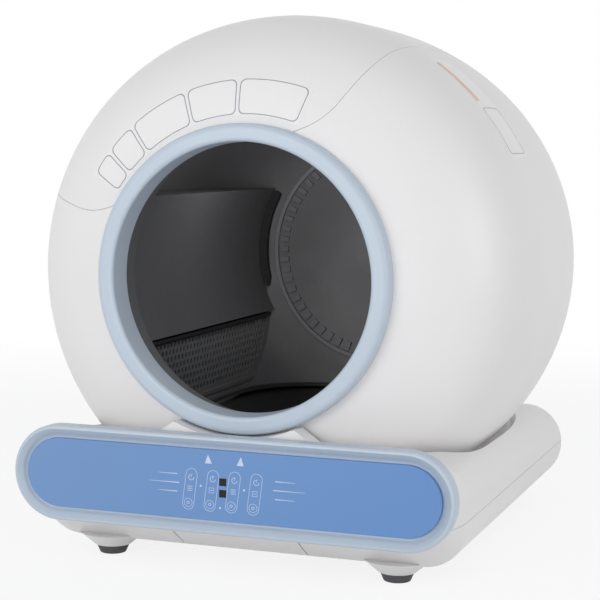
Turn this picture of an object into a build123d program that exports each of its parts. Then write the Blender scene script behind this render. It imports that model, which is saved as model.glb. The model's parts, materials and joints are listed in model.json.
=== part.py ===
from build123d import *
import math
import os

# Self-cleaning litter box: a drum turns inside a fixed ball-shaped casing on a low base.
# Millimetres. X is to the right, Y runs backwards from the front of the drawer, Z is up from
# the floor. The written parts are moved so that Y = 0 lies halfway along the object.

os.makedirs("parts", exist_ok=True)

# Drawer front, a dished oblong with a raised panel
front_width = 450.0
front_height = 94.8
front_bottom = 44.9
front_depth = 15.6
front_edge_round = 3.5
dish_rim = 3.6
dish_slope = 7.0
dish_depth = 8.0
dish_round = 4.0
panel_inset = 13.2
panel_proud = 3.4
panel_edge_round = 0.8
board_pocket_width = 250.0
board_pocket_height = 56.0
board_pocket_depth = 4.6

# Base
base_front = 16.0
base_rear = 548.0
base_half_width = 223.4
base_bottom = 19.0
base_front_top = 135.5
base_shoulder_top = 125.5
base_front_low = 46.0
base_rear_top = 107.0
base_corner = 43.8
base_rear_round = 28.0
chin_back = 58.0
base_wall = 3.0
parting_height = 66.5
seam = 0.4

# Drum axis and casing
axis_height = 286.7
casing_radius = 262.0
casing_middle = 252.0
casing_front_depth = 212.0
casing_back_depth = 310.0
casing_front_power = 3.8
casing_back_power = 3.25
casing_wall = 3.0
casing_foot = 104.0
well_gap = 7.0
well_wall = 2.5
ledge_thickness = 3.0
ledge_opening_half_width = 138.0
ledge_opening_front = 100.0
ledge_opening_rear = 500.0
ledge_opening_round = 30.0
profile_steps = 9

# Lift-off top cover, cut out of the casing by an outline seen from the front
cover_tilt = 21.5
cover_low_edge = 114.0
cover_low_half_width = 130.0
cover_side_slope = 36.0
cover_corner_round = 70.0
cover_flange_in = 8.0
cover_flange_out = 5.0
cover_flange_thickness = 2.5
cover_flange_gap = 0.3

# Entry ring
ring_front = 29.8
ring_seat = 47.0
ring_outer_radius = 149.5
ring_inner_radius = 132.0
ring_round = 6.0
ring_lip_round = 4.0
ring_skin = 3.0
throat_wall = 3.5
throat_back = 62.0
seat_gap = 0.2
neck_plate_radius = 158.0
neck_plate_thickness = 3.5
neck_hole_gap = 1.0
ring_boss_radius = 4.5
ring_clearance = 2.0
felt_thickness = 3.2
felt_width = 10.0

# Cradle of the base under the bottom of the ring
cradle_peak = 63.0
cradle_outer = 95.0
cradle_peak_height = 147.5
cradle_front = 20.0
cradle_back = 42.0
cradle_root = 125.0

# Drum
drum_radius = 219.0
drum_middle = 252.0
drum_front_depth = 170.0
drum_back_depth = 253.0
drum_front_power = 3.8
drum_back_power = 4.35
drum_wall = 3.0
drum_neck_radius = 142.5
drum_neck_front = 58.0
drum_neck_back = 96.0
neck_lip_front = 89.2
neck_lip_width = 4.5
drum_split = 330.0
drum_flange = 5.0
drum_flange_width = 8.0
port_start_angle = 88.0
port_end_angle = 122.0
port_front = 165.0
port_back = 310.0
port_cut_depth = 74.0

# Teeth and ridge moulded on the inside of the drum's rear wall
ridge_radius = 134.0
ridge_width = 4.4
ridge_height = 2.6
moulded_teeth = 60
moulded_tooth_inner = 117.0
moulded_tooth_outer = 128.0
moulded_tooth_width = 5.6
moulded_tooth_height = 2.4
hub_radius = 30.0
hub_height = 7.0

# Septum, sifter and liner inside the drum
septum_radius = 152.0
septum_thickness = 3.0
septum_half_height = 75.0
sifter_x = -138.0
sifter_top_gap = 3.5
sifter_thickness = 1.4
sifter_slot_width = 4.9
sifter_slot_height = 6.6
sifter_pitch_along = 9.5
sifter_pitch_down = 7.9
sifter_first_row = 7.5
sifter_rows = 8
sifter_front = 128.0
sifter_columns = 37
sifter_ribs = 2
sifter_rib_overlap = 1.0
sifter_rib_height = 1.5
sifter_rib_width = 4.6
inner_gap = 0.05
strip_width = 10.0
strip_front = 484.0
strip_start_angle = 151.0
strip_end_angle = 194.0
strip_corner = 4.0
strip_tip_angle = 5.0
strip_tip_round = 1.2
strip_screw_angles = (158.0, 189.0)
strip_screw_length = 7.0
liner_top = -161.0
liner_thickness = 2.4
liner_rim_width = 7.0
liner_side = -132.0

# Drive: ring gear on the drum, pinion and gear motor in the rear of the base
gear_module = 2.5
gear_teeth = 170
pinion_teeth = 16
gear_front = 440.0
gear_width = 12.0
gear_backlash = 0.5
gear_extra_distance = 0.1
gear_rim = 5.0
pressure_angle = 20.0
addendum_share = 0.8
dedendum_share = 1.25
shaft_radius = 4.0
shaft_flat_end = 4.0
gearbox_radius = 19.0
gearbox_length = 26.0
motor_radius = 14.0
motor_length = 38.0
motor_plate = 2.5
motor_plate_half_width = 34.0
motor_plate_rise = 26.0
motor_foot_length = 22.0

# Rollers that carry the drum
roller_radius = 11.0
roller_width = 10.0
axle_radius = 3.0
running_gap = 0.05
front_roller_angle = 30.0
front_roller_front = 74.0
rear_roller_angle = 35.0
rear_roller_front = 465.0
rear_track_radius = 192.0
track_margin = 2.0
roller_gap = 0.3
bracket_cheek = 3.5
bracket_side_gap = 0.8
bracket_half_width = 12.0
bracket_base = 3.0

# Waste drawer
tray_half_width = 150.0
tray_top = 98.0
tray_step = 47.0
tray_rear = 400.0
trough_half_width = 64.0
trough_bottom = 26.0
tray_wall = 2.4
tray_drum_gap = 4.0
tray_opening_gap = 1.5
chin_gap = 1.6
runner_inner = 84.0
runner_width = 16.0
runner_front = 62.0
runner_gap = 0.4

# Feet, load cells and fasteners
foot_x = 151.0
foot_front = 72.0
foot_rear = 476.0
foot_height = 9.0
foot_top_radius = 17.0
foot_bottom_radius = 13.0
foot_edge_round = 1.5
foot_stem_radius = 5.0
foot_stem_length = 7.0
boss_top_radius = 34.0
boss_bottom_radius = 18.5
cell_length = 34.0
cell_width = 12.0
cell_height = 6.0
screw_head_radius = 3.4
screw_head_height = 2.2
screw_radius = 1.7
screw_clearance = 0.05
screw_length = 12.0
base_screw_x = 178.0
base_screw_front = 130.0
base_screw_rear = 410.0
base_screw_count = 3
base_boss_radius = 6.0
base_screw_seat = 30.0
base_screw_length = 50.0
lug_x = 168.0
lug_front = 168.0
lug_rear = 336.0
lug_half_length = 8.0
lug_inner_x = 158.0
lug_height = 14.0
drum_screw_count = 8
front_screw_x = 120.0
front_screw_inner_x = 40.0
front_screw_height = 54.0
front_screw_length = 6.0
ring_screw_angles = (-15.0, 200.0, 240.0, 300.0)

# Electronics
touch_board_width = 150.0
touch_board_height = 44.0
touch_board_x = -25.0
board_thickness = 1.6
display_size = 7.4
display_pitch = 11.1
display_x = -3.0
display_height = 96.2
display_depth = 0.8
contact_x = 172.0
contact_z = 118.0
contact_block_width = 26.0
contact_block_height = 10.0
contact_block_depth = 10.0
contact_pad_depth = 1.0
contact_pad_radius = 2.0
contact_pin_radius = 1.0
contact_pin_pitch = 6.0
contact_count = 4
main_board_x = -118.0
main_board_y = 504.0
main_board_width = 110.0
main_board_depth = 38.0
standoff_radius = 3.0
standoff_height = 10.0
relay_height = 4.5
relay_width = 49.0
regulator_depth = 7.0
component_height = 9.0
inlet_x = -120.0
inlet_z = 56.0
inlet_width = 14.0
inlet_height = 11.0
inlet_depth = 14.0
inlet_bore_radius = 2.8
inlet_bore_length = 9.5
inlet_face_margin = 0.3
sensor_size = 12.0
sensor_height = 8.0
sensor_gap = 4.0
magnet_angles = (310.0, 145.0)
magnet_radius = 3.0
magnet_thickness = 2.0

# Overrun of cutters past the faces that they cut
overrun = 20.0

# Values worked out from the ones above
origin_y = (casing_middle + casing_back_depth) / 2
front_middle = front_bottom + front_height / 2
far = casing_radius + base_rear
floor_height = base_bottom + base_wall
gear_pitch_radius = gear_module * gear_teeth / 2
pinion_pitch_radius = gear_module * pinion_teeth / 2
pinion_drop = gear_pitch_radius + pinion_pitch_radius + gear_extra_distance
pinion_height = axis_height - pinion_drop
gear_back = gear_front + gear_width
ledge_top = casing_foot
ledge_bottom = casing_foot - ledge_thickness
drum_axis = Axis((0, 0, axis_height), (0, 1, 0))
section_plane = Plane(origin=(0, 0, axis_height), x_dir=(0, 1, 0), z_dir=(1, 0, 0))


def across(y, z=0.0):
    """Plane that faces the front at depth y, with its own x to the right and y upwards."""
    return Plane(origin=(0, y, z), x_dir=(1, 0, 0), z_dir=(0, -1, 0))


def block(x0, x1, y0, y1, z0, z1):
    """Box between two corners."""
    middle = Pos((x0 + x1) / 2, (y0 + y1) / 2, (z0 + z1) / 2)
    return middle * Box(x1 - x0, y1 - y0, z1 - z0)


def mirrored(x0, x1, y0, y1, z0, z1):
    """The same box on the right and on the left."""
    return block(x0, x1, y0, y1, z0, z1) + block(-x1, -x0, y0, y1, z0, z1)


def rod(radius, x, y, z, length, direction):
    """Cylinder that starts at a point and runs along a direction."""
    start = Plane(origin=(x, y, z), z_dir=direction)
    return start * Cylinder(radius, length, align=(Align.CENTER, Align.CENTER, Align.MIN))


def upright(radius, x, y, z0, z1):
    return rod(radius, x, y, z0, z1 - z0, (0, 0, 1))


def backwards(radius, x, z, y0, y1):
    return rod(radius, x, y0, z, y1 - y0, (0, 1, 0))


def slice_of(sketch, y0, y1, z=0.0):
    """Front-view sketch thickened from depth y0 to depth y1."""
    return extrude(across(y1, z) * sketch, y1 - y0)


def oblong(width, height, y0, y1, middle):
    """Block with fully rounded ends, seen from the front."""
    return slice_of(SlotOverall(width, height), y0, y1, middle)


def turned(sketch):
    """Sketch of depth and radius turned about the drum axis."""
    return revolve(section_plane * sketch, drum_axis)


def hoop(y0, y1, inner, outer):
    """Plain ring about the drum axis."""
    middle = Pos((y0 + y1) / 2, (inner + outer) / 2)
    return turned(middle * Rectangle(y1 - y0, outer - inner))


def disc(y0, y1, radius):
    return backwards(radius, 0, axis_height, y0, y1)


def flattened_ball(radius, middle, ahead, behind, front_power, back_power):
    """Ball about the drum axis whose two halves follow superellipses."""
    def half(depth, power):
        points = []
        for step in range(profile_steps):
            angle = math.pi / 2 * step / profile_steps
            along = depth * math.cos(angle) ** (2 / power)
            out = radius * math.sin(angle) ** (2 / power)
            points.append((middle + along, out))
        return points + [(middle, radius)]

    front_points = half(-ahead, front_power)
    back_points = half(behind, back_power)
    back_points.reverse()
    front_curve = Spline(front_points, tangents=((0, 1), (1, 0)))
    back_curve = Spline(back_points, tangents=((1, 0), (0, -1)))
    closing = Line(back_points[-1], front_points[0])
    return turned(make_face([front_curve, back_curve, closing]))


def casing_form(inset):
    return flattened_ball(casing_radius - inset, casing_middle, casing_front_depth - inset,
                          casing_back_depth - inset, casing_front_power, casing_back_power)


def drum_form(inset):
    return flattened_ball(drum_radius - inset, drum_middle, drum_front_depth - inset,
                          drum_back_depth - inset, drum_front_power, drum_back_power)


def base_form(inset):
    """Outer form of the base, moved inwards by inset."""
    places = (
        (base_front + inset, base_front_low, base_front_top),
        (chin_back, base_bottom, base_shoulder_top),
        (base_rear - inset, base_bottom, base_rear_top),
    )
    sections = []
    for y, low, top in places:
        outline = RectangleRounded(2 * (base_half_width - inset), top - low - 2 * inset,
                                   base_corner - inset)
        sections.append(across(y, (low + top) / 2) * outline)
    form = loft(sections, ruled=True)
    rear_edges = form.edges().group_by(Axis.Y)[-1]
    return fillet(rear_edges, base_rear_round - inset)


def cover_outline(grow):
    """Outline of the top cover seen from the front, about the drum axis."""
    rise = casing_radius
    spread = cover_low_half_width + rise / math.tan(math.radians(cover_side_slope))
    outline = Polygon((-cover_low_half_width, cover_low_edge),
                      (cover_low_half_width, cover_low_edge),
                      (spread, cover_low_edge + rise), (-spread, cover_low_edge + rise),
                      align=None)
    low_corners = outline.vertices().group_by(Axis.Y)[0]
    outline = fillet(low_corners, cover_corner_round)
    if grow:
        outline = offset(outline, grow)
    return Rot(0, 0, cover_tilt) * outline


def cover_prism(grow):
    return slice_of(cover_outline(grow), 0, far, axis_height)


def gear_profile(teeth, phase):
    """Face of a spur gear with thinned involute teeth; one tooth is centred on phase."""
    pitch = gear_module * teeth / 2
    base_circle = pitch * math.cos(math.radians(pressure_angle))
    tip = pitch + addendum_share * gear_module
    root = pitch - dedendum_share * gear_module
    half_tooth = math.pi / (2 * teeth) - gear_backlash / (2 * pitch)

    def roll(radius):
        ratio = max(radius / base_circle, 1.0)
        tangent = math.sqrt(ratio * ratio - 1)
        return tangent - math.atan(tangent)

    lowest = max(root, base_circle)
    flank = []
    for share_up in (0.0, 0.5, 1.0):
        radius = lowest + share_up * (tip - lowest)
        flank.append((radius, half_tooth + roll(pitch) - roll(radius)))
    if root < lowest:
        flank.insert(0, (root, flank[0][1]))
    corners = []
    for tooth in range(teeth):
        centre = math.radians(phase) + 2 * math.pi * tooth / teeth
        for radius, half_angle in flank:
            corners.append((radius, centre - half_angle))
        for radius, half_angle in reversed(flank):
            corners.append((radius, centre + half_angle))
    points = [(radius * math.cos(angle), radius * math.sin(angle)) for radius, angle in corners]
    return make_face(Polyline(*points, close=True))


def screw(x, y, z, direction, length):
    """Pan-head screw: the point given is under the head, and the shank runs along direction."""
    back = tuple(-part for part in direction)
    head = rod(screw_head_radius, x, y, z, screw_head_height, back)
    return head + rod(screw_radius, x, y, z, length, direction)


def screw_hole(x, y, z, direction, length):
    return rod(screw_radius + screw_clearance, x, y, z, length, direction)


def around(radius, angle):
    """Point at a radius and an angle about the drum axis, seen from the front."""
    turn = math.radians(angle)
    return radius * math.cos(turn), axis_height + radius * math.sin(turn)


def below(radius, angle, side):
    """Point below the drum axis, turned by angle from straight down to one side."""
    turn = math.radians(angle)
    return side * radius * math.sin(turn), axis_height - radius * math.cos(turn)


# Places shared by several pieces
front_roller_distance = drum_neck_radius + roller_radius + roller_gap
rear_roller_distance = rear_track_radius + roller_radius + roller_gap
tray_scoop_radius = drum_radius + drum_flange_width + tray_drum_gap
foot_places = [(x, y) for x in (-foot_x, foot_x) for y in (foot_front, foot_rear)]
base_screw_pitch = (base_screw_rear - base_screw_front) / (base_screw_count - 1)
base_screw_places = [(x, base_screw_front + base_screw_pitch * step)
                     for x in (-base_screw_x, base_screw_x) for step in range(base_screw_count)]
lug_places = [(x, y) for x in (-lug_x, lug_x) for y in (lug_front, lug_rear)]
ring_screw_radius = (ring_outer_radius + ring_inner_radius + throat_wall) / 2
front_screw_places = [(-front_screw_x, front_screw_height), (front_screw_x, front_screw_height),
                      (-front_screw_inner_x, front_screw_height),
                      (front_screw_inner_x, front_screw_height)]


def base_shell():
    return base_form(0) - base_form(base_wall)


def tray_opening():
    """Way through the front of the base for the drawer and its chin."""
    upper = block(-tray_half_width - tray_opening_gap, tray_half_width + tray_opening_gap,
                  0, chin_back, tray_step - tray_opening_gap, tray_top + tray_opening_gap)
    chin = block(-trough_half_width - chin_gap, trough_half_width + chin_gap,
                 0, chin_back, 0, tray_step)
    return upper + chin


def lower_tray(shell):
    """Lower housing: floor, side walls up to the parting line, bosses and feet seats."""
    body = shell & block(-far, far, 0, far, 0, parting_height)
    body = body - tray_opening()
    for x, y in foot_places:
        boss = Cone(boss_bottom_radius, boss_top_radius, floor_height - foot_height,
                    align=(Align.CENTER, Align.CENTER, Align.MIN))
        body = body + (Pos(x, y, foot_height) * boss & base_skirt())
        body = body - upright(foot_stem_radius, x, y, 0, foot_height + foot_stem_length)
    for x, y in base_screw_places:
        body = body + upright(base_boss_radius, x, y, base_bottom + base_wall / 2, parting_height)
        body = body - upright(screw_head_radius + seam, x, y, 0, base_screw_seat)
        body = body - upright(screw_radius + screw_clearance, x, y, 0, parting_height + overrun)
    inlet = block(inlet_x - inlet_width / 2, inlet_x + inlet_width / 2, base_rear - overrun,
                  base_rear + overrun, inlet_z - inlet_height / 2, inlet_z + inlet_height / 2)
    return body - inlet


def base_skirt():
    """Space within the plan of the base, so that the foot bosses stay inside it."""
    return block(-base_half_width, base_half_width, base_front, base_rear, 0, parting_height)


def upper_shell(shell):
    """Upper housing with the well for the casing, its ledge and the ring cradle."""
    inside = base_form(base_wall / 2)
    well_outside = casing_form(-well_gap - well_wall)
    well = casing_form(-well_gap)
    body = shell & block(-far, far, 0, far, parting_height + seam, far)
    body = body - tray_opening()
    below_ledge = block(-far, far, 0, far, 0, ledge_bottom)
    opening = block(-ledge_opening_half_width, ledge_opening_half_width, ledge_opening_front,
                    ledge_opening_rear, ledge_bottom - overrun, ledge_top + overrun)
    opening = fillet(opening.edges().filter_by(Axis.Z), ledge_opening_round)
    bowl = (well_outside & inside) - below_ledge
    air = well - block(-far, far, 0, far, 0, ledge_top)
    body = body + bowl - air - opening
    cradle = ring_cradle()
    hollow = disc(cradle_front, throat_back, ring_outer_radius + ring_clearance)
    body = body + cradle - hollow
    for x, y in base_screw_places:
        body = body + upright(base_boss_radius, x, y, parting_height + seam, ledge_top)
        body = body - upright(screw_radius + screw_clearance, x, y, 0,
                              base_screw_seat + base_screw_length + seam)
    for x, y in lug_places:
        body = body - screw_hole(x, y, 0, (0, 0, 1), ledge_top + overrun)
    window = block(contact_x - contact_block_width / 2, contact_x + contact_block_width / 2,
                   0, base_front + base_wall, contact_z - contact_block_height / 2,
                   contact_z + contact_block_height / 2)
    return body - window


def ring_cradle():
    """Raised block of the base; the ring's hollow leaves a low peak at each side of it."""
    outline = Polygon((-cradle_outer, cradle_root), (cradle_outer, cradle_root),
                      (cradle_peak, cradle_peak_height), (-cradle_peak, cradle_peak_height),
                      align=None)
    return slice_of(outline, cradle_front, cradle_back)


def casing_shells():
    """Fixed casing and lift-off cover, cut from one ball-shaped shell."""
    outside = casing_form(0)
    inside = casing_form(casing_wall)
    neck = hoop(ring_seat, ring_seat + neck_plate_thickness, ring_inner_radius,
                neck_plate_radius) & outside
    shell = outside - inside + neck
    shell = shell - disc(0, ring_seat, ring_outer_radius + seat_gap)
    shell = shell - disc(0, casing_middle / 2, ring_inner_radius + throat_wall + neck_hole_gap)
    shell = shell & block(-far, far, 0, far, casing_foot, far)
    cover = shell & cover_prism(-seam / 2)
    casing = shell - cover_prism(seam / 2)
    return casing, cover


def casing_with_lugs(casing):
    """Casing with the flange that the cover rests on and lugs for its screws."""
    flange_top = casing_form(casing_wall + cover_flange_gap)
    flange_low = casing_form(casing_wall + cover_flange_gap + cover_flange_thickness)
    wide = cover_prism(cover_flange_out)
    throat = disc(0, casing_middle / 2, neck_plate_radius + seam)
    flange = (flange_top - flange_low) & wide
    flange = flange - cover_prism(-cover_flange_in)
    joint = (casing_form(casing_wall / 2) - flange_low) & wide
    joint = joint - cover_prism(seam / 2)
    above = block(-far, far, 0, far, casing_foot, far)
    body = casing + (flange - throat) + (joint - throat)
    inner = casing_form(casing_wall / 2)
    for x, y in lug_places:
        side = math.copysign(1, x)
        x0, x1 = sorted((side * lug_inner_x, side * (lug_x + overrun)))
        lug = block(x0, x1, y - lug_half_length, y + lug_half_length, casing_foot,
                    casing_foot + lug_height)
        body = body + (lug & inner)
        body = body - screw_hole(x, y, 0, (0, 0, 1), casing_foot + screw_length)
    for angle in ring_screw_angles:
        x, z = around(ring_screw_radius, angle)
        body = body - screw_hole(x, 0, z, (0, 1, 0), casing_middle / 2)
    return body & above


def entry_ring():
    """Ring around the entry with its throat; hollow at the back, with screw bosses."""
    outline = Polyline((ring_seat, ring_outer_radius), (ring_front, ring_outer_radius),
                       (ring_front, ring_inner_radius), (throat_back, ring_inner_radius),
                       (throat_back, ring_inner_radius + throat_wall),
                       (ring_seat, ring_inner_radius + throat_wall), close=True)
    section = make_face(outline)
    front_corners = section.vertices().group_by(Axis.X)[0].sort_by(Axis.Y)
    section = fillet(front_corners[-1], ring_round)
    front_corners = section.vertices().group_by(Axis.X)[0].sort_by(Axis.Y)
    section = fillet(front_corners[0], ring_lip_round)
    body = turned(section)
    groove = hoop(ring_front + 2 * ring_skin, ring_seat, ring_inner_radius + throat_wall,
                  ring_outer_radius - ring_skin)
    body = body - groove
    for angle in ring_screw_angles:
        x, z = around(ring_screw_radius, angle)
        body = body + backwards(ring_boss_radius, x, z, ring_front + 2 * ring_skin, ring_seat)
        body = body - backwards(screw_radius + screw_clearance, x, z,
                                ring_seat - screw_length, ring_seat)
    return body


def throat_felt():
    """Felt sleeve on the outside of the throat, behind the casing."""
    inner = ring_inner_radius + throat_wall
    return hoop(throat_back - felt_width, throat_back, inner, inner + felt_thickness)


def drum_neck():
    """Collar that runs on the front rollers, with a lip against the front of the drum."""
    collar = hoop(drum_neck_front, drum_neck_back, drum_neck_radius - drum_wall, drum_neck_radius)
    lip = hoop(neck_lip_front, drum_neck_back, drum_neck_radius - drum_wall / 2,
               drum_neck_radius + neck_lip_width)
    return collar + (lip - drum_form(-inner_gap))


def drum_shell():
    """Whole drum: ball-shaped wall, rear track, ridge, teeth and waste port."""
    wall = drum_form(0) - drum_form(drum_wall)
    wall = wall - disc(0, drum_middle, drum_neck_radius + inner_gap)
    track = hoop(rear_roller_front - track_margin, rear_roller_front + roller_width + track_margin,
                 drum_neck_radius, rear_track_radius) - drum_form(drum_wall / 2)
    wall = wall + track
    inner_back = drum_middle + drum_back_depth - drum_wall
    ridge = hoop(drum_rear_face(ridge_radius) - ridge_height, inner_back + drum_wall / 2,
                 ridge_radius - ridge_width, ridge_radius)
    hub = disc(inner_back - hub_height, inner_back + drum_wall / 2, hub_radius)
    tooth = block(moulded_tooth_inner, moulded_tooth_outer,
                  drum_rear_face(moulded_tooth_outer) - moulded_tooth_height,
                  inner_back + drum_wall / 2, -moulded_tooth_width / 2, moulded_tooth_width / 2)
    wall = wall + (ridge & drum_form(drum_wall / 2)) + hub
    centre = Pos(0, 0, axis_height)
    teeth = [centre * Rot(0, 360 * step / moulded_teeth, 0) * tooth
             for step in range(moulded_teeth)]
    limit = drum_form(drum_wall / 2)
    wall = wall + [tooth_ & limit for tooth_ in teeth]
    return wall - waste_port()


def waste_port():
    """Window in the top of the drum that the waste leaves by when the drum is turned over."""
    span = port_end_angle - port_start_angle
    window = Pos((port_front + port_back) / 2, drum_radius)
    sketch = window * Rectangle(port_back - port_front, port_cut_depth)
    turned_back = Pos(0, 0, axis_height) * Rot(0, 90 - port_start_angle, 0) * Pos(0, 0, -axis_height)
    sector = revolve(section_plane * sketch, drum_axis, -span)
    return turned_back * sector


def drum_halves(shell):
    """Front and rear shells with a flange at the split that takes the drum screws."""
    collar = hoop(drum_split - drum_flange, drum_split + drum_flange, drum_radius / 2,
                  drum_radius + drum_flange_width) - drum_form(drum_wall / 2)
    shell = shell + collar
    front = shell & block(-far, far, 0, drum_split, -far, far)
    rear = shell & block(-far, far, drum_split, far, -far, far)
    for x, z in drum_screw_places():
        hole = backwards(screw_radius + screw_clearance, x, z, drum_split - overrun,
                         drum_split + overrun)
        front = front - hole
        rear = rear - hole
    for x, z in strip_screw_places():
        rear = rear - screw_hole(x, strip_front, z, (0, 1, 0), strip_screw_length)
    return front, rear


def drum_screw_places():
    radius = drum_radius + drum_flange_width / 2
    return [around(radius, 360 / drum_screw_count * (step + 1 / 2))
            for step in range(drum_screw_count)]


def ring_gear(shell_form):
    """Toothed collar screwed to the outside of the drum."""
    face = gear_profile(gear_teeth, -90)
    wheel = slice_of(face, gear_front, gear_back, axis_height)
    return wheel - shell_form


def pinion():
    """Drive pinion; a gap between two teeth points up at the ring gear."""
    face = gear_profile(pinion_teeth, 90 + 180 / pinion_teeth)
    wheel = slice_of(face, gear_front, gear_back, pinion_height)
    return wheel - backwards(shaft_radius, 0, pinion_height, 0, far)


def drum_reach(y, inset):
    """Inner radius of the drum at depth y."""
    depth = drum_front_depth if y < drum_middle else drum_back_depth
    power = drum_front_power if y < drum_middle else drum_back_power
    ratio = min(abs(y - drum_middle) / (depth - inset), 1.0)
    return (drum_radius - inset) * (1 - ratio ** power) ** (1 / power)


def drum_rear_face(radius):
    """Depth of the inside of the drum's rear wall at a radius."""
    ratio = radius / (drum_radius - drum_wall)
    depth = (drum_back_depth - drum_wall) * (1 - ratio ** drum_back_power) ** (1 / drum_back_power)
    return drum_middle + depth


def septum(room):
    """Curved wall inside the drum that holds clean litter back, with a shelf along its top."""
    top = axis_height + septum_half_height
    wall = hoop(0, far, septum_radius, septum_radius + septum_thickness)
    wall = wall & block(-far, 0, 0, far, axis_height - septum_half_height, top)
    shelf = block(-far, 0, 0, far, top - septum_thickness, top)
    return (wall + (shelf - disc(0, far, septum_radius + septum_thickness / 2))) & room


def sifter(room):
    """Grille below the septum with staggered slots and three long ribs under them."""
    plane = Plane(origin=(sifter_x, 0, axis_height), x_dir=(0, 1, 0), z_dir=(1, 0, 0))
    top = -septum_half_height - sifter_top_gap
    reach = drum_middle + drum_back_depth
    height = drum_radius + top
    sheet = Pos(reach / 2, top - height / 2) * Rectangle(reach, height)
    slots = []
    for row in range(sifter_rows):
        z = top - sifter_first_row - row * sifter_pitch_down
        stagger = sifter_pitch_along / 2 * (row % 2)
        for column in range(sifter_columns):
            y = sifter_front + stagger + column * sifter_pitch_along
            outer_corner = math.hypot(sifter_x, z - sifter_slot_height)
            reach_here = min(drum_reach(y - sifter_slot_width, drum_wall),
                             drum_reach(y + sifter_slot_width, drum_wall))
            if outer_corner + sifter_slot_width < reach_here:
                slots.append(Pos(y, z) * SlotOverall(sifter_slot_height, sifter_slot_width, 90))
    plate = extrude(plane * (sheet - slots), sifter_thickness)
    lowest = top - sifter_first_row - (sifter_rows - 1) * sifter_pitch_down
    for step in range(sifter_ribs):
        z = axis_height + lowest - (step + 1) * sifter_pitch_down
        face = sifter_x + sifter_thickness
        plate = plate + block(face - sifter_rib_overlap, face + sifter_rib_height,
                              0, far, z - sifter_rib_width, z)
    return plate & room


def strip_screw_places():
    return [around(septum_radius - strip_width / 2, angle) for angle in strip_screw_angles]


def septum_strip():
    """Dark curved strip against the rear end of the septum, screwed to the drum's rear wall."""
    span = strip_end_angle - strip_start_angle
    outer = CenterArc((0, 0), septum_radius, strip_start_angle, span)
    inner = CenterArc((0, 0), septum_radius - strip_width, strip_start_angle, span)
    tip_x, tip_y = around(septum_radius - strip_width / 2, strip_end_angle + strip_tip_angle)
    tip = (tip_x, tip_y - axis_height)
    outline = make_face([outer, Line(outer @ 1, tip), Line(tip, inner @ 1), inner,
                         Line(inner @ 0, outer @ 0)])
    outline = fillet(outline.vertices().group_by(Axis.Y)[0], strip_tip_round)
    outline = fillet(outline.vertices().filter_by(lambda corner: corner.Y > 0), strip_corner)
    strip = slice_of(outline, strip_front, far, axis_height) & drum_form(drum_wall + inner_gap)
    for x, z in strip_screw_places():
        strip = strip - screw_hole(x, 0, z, (0, 1, 0), far)
    return strip


def litter_liner():
    """Black dished liner in the bottom of the drum, with a flat rim."""
    outside = drum_form(drum_wall + inner_gap)
    inside = drum_form(drum_wall + inner_gap + liner_thickness)
    rim_height = axis_height + liner_top
    low = block(liner_side, far, drum_neck_back, far, 0, rim_height)
    bowl = (outside - inside) & low
    rim = outside - drum_form(drum_wall + inner_gap + liner_rim_width)
    rim = rim & block(liner_side, far, drum_neck_back, far, rim_height - liner_thickness,
                      rim_height)
    return bowl + rim


def roller(place, front):
    x, z = place
    wheel = backwards(roller_radius, x, z, front, front + roller_width)
    return wheel - backwards(axle_radius + running_gap, x, z, front, front + roller_width)


def roller_bracket(place, front, foot):
    """Fork that holds a roller's axle above the height of its foot."""
    x, z = place
    near = front - bracket_side_gap - bracket_cheek
    back = front + roller_width + bracket_side_gap + bracket_cheek
    top = z + axle_radius + bracket_cheek
    body = block(x - bracket_half_width, x + bracket_half_width, near, back, foot, top)
    body = fillet(body.edges().filter_by(Axis.Y).group_by(Axis.Z)[-1], axle_radius + bracket_cheek)
    gap = block(x - far, x + far, front - bracket_side_gap,
                front + roller_width + bracket_side_gap, z - roller_radius - bracket_base, far)
    body = body - gap
    return body - backwards(axle_radius, x, z, 0, far)


def axle(place, front):
    x, z = place
    reach = bracket_side_gap + bracket_cheek
    return backwards(axle_radius, x, z, front - reach, front + roller_width + reach)


def gear_motor():
    """Gearbox and motor behind the pinion, on the pinion's axis."""
    start = gear_back + motor_plate + bracket_side_gap
    gearbox = backwards(gearbox_radius, 0, pinion_height, start, start + gearbox_length)
    can = backwards(motor_radius, 0, pinion_height, start + gearbox_length,
                    start + gearbox_length + motor_length)
    bore = backwards(shaft_radius + running_gap, 0, pinion_height, start,
                     start + gearbox_length / 2)
    return gearbox + can - bore


def motor_shaft():
    start = gear_back + motor_plate + bracket_side_gap
    return backwards(shaft_radius, 0, pinion_height, gear_front - shaft_flat_end,
                     start + gearbox_length / 2)


def motor_bracket():
    """Plate between pinion and gearbox, bent back along the floor."""
    back = gear_back + bracket_side_gap + motor_plate
    plate = block(-motor_plate_half_width, motor_plate_half_width, back - motor_plate, back,
                  floor_height, pinion_height + motor_plate_rise)
    foot = block(-motor_plate_half_width, motor_plate_half_width, back - motor_plate,
                 back + motor_foot_length, floor_height, floor_height + motor_plate)
    body = plate + foot
    body = body - backwards(shaft_radius + bracket_side_gap, 0, pinion_height, 0, far)
    for x in (-motor_plate_half_width + screw_length / 2, motor_plate_half_width - screw_length / 2):
        body = body - screw_hole(x, back + motor_foot_length / 2, 0, (0, 0, 1), far)
    return body


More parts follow.
